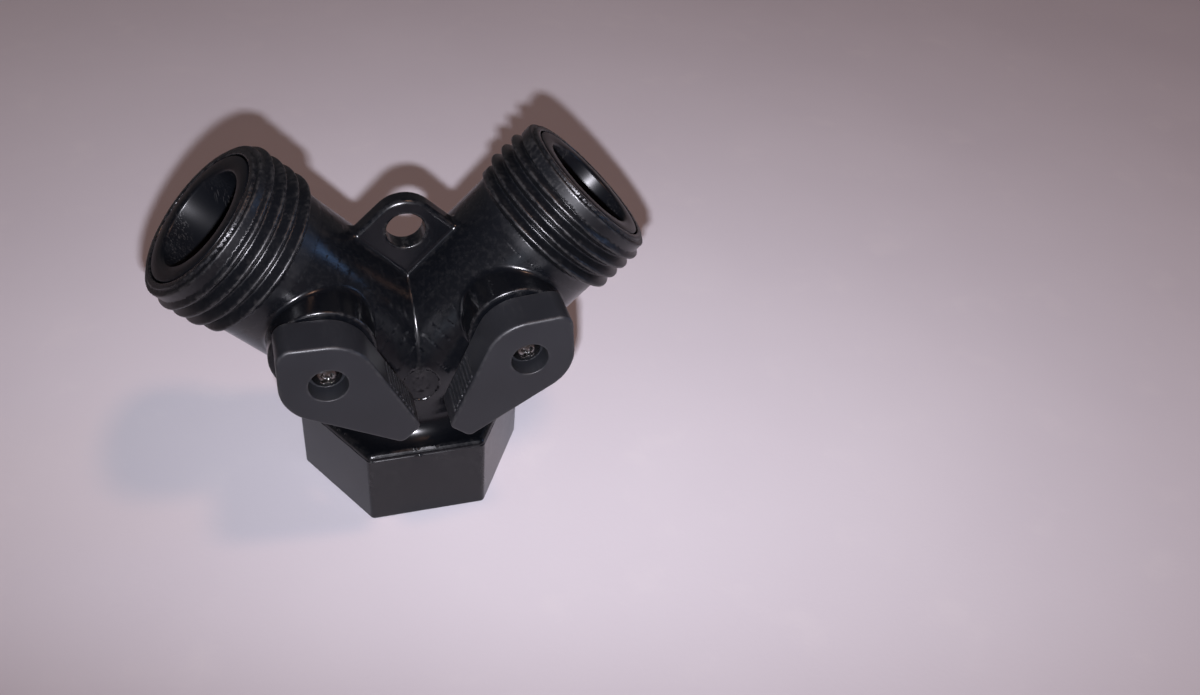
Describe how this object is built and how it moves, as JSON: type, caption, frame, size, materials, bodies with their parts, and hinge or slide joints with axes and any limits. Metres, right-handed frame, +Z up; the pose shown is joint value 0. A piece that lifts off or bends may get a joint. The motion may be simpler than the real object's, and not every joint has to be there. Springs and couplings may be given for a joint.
{
  "type": "hose splitter",
  "caption": "Y-shaped garden hose splitter with a threaded hex inlet, male-threaded outlets, a quarter-turn ball shut-off with a kite-shaped lever on each branch, and a hanging ear.",
  "frame": {"origin": "Bottom centre of the whole object's bounding box: on the surface that it stands on, 3.25 mm in front of the inlet's axis.", "axes": "+Z up along the inlet's axis, away from the hex; +X to the right branch; the levers face -Y. The pipes' axes lie in the plane y = 3.25 mm."},
  "size_m": [0.076, 0.0388, 0.06],
  "materials": {
    "housing_plastic": "semi-gloss moulded black plastic, dusty on the threads",
    "lever_plastic": "satin moulded black plastic",
    "retainer_plastic": "semi-gloss turned black plastic",
    "ball_plastic": "polished black plastic",
    "seal_rubber": "smooth black rubber",
    "washer_rubber": "smooth black rubber",
    "screw_steel": "bright plated steel"
  },
  "bodies": {
    "housing": {"valve_body": "housing_plastic", "inlet_washer": "washer_rubber", "left_inner_seat": "seal_rubber", "left_outer_seat": "seal_rubber", "left_seat_retainer": "retainer_plastic", "left_retainer_o_ring": "seal_rubber", "right_inner_seat": "seal_rubber", "right_outer_seat": "seal_rubber", "right_seat_retainer": "retainer_plastic", "right_retainer_o_ring": "seal_rubber"},
    "left_valve": {"left_lever": "lever_plastic", "left_lever_screw": "screw_steel", "left_stem": "ball_plastic", "left_stem_o_ring": "seal_rubber", "left_thrust_washer": "ball_plastic", "left_ball": "ball_plastic"},
    "right_valve": {"right_lever": "lever_plastic", "right_lever_screw": "screw_steel", "right_stem": "ball_plastic", "right_stem_o_ring": "seal_rubber", "right_thrust_washer": "ball_plastic", "right_ball": "ball_plastic"}
  },
  "joints": [
    {"name": "left_lever_turn", "type": "hinge", "parent": "housing", "child": "left_valve", "pos_m": [-0.01459, 0.00325, 0.03641], "axis": [0, 1, 0], "range_deg": [0, 90]},
    {"name": "right_lever_turn", "type": "hinge", "parent": "housing", "child": "right_valve", "pos_m": [0.01459, 0.00325, 0.03641], "axis": [0, -1, 0], "range_deg": [-4.5, 85.5]}
  ]
}
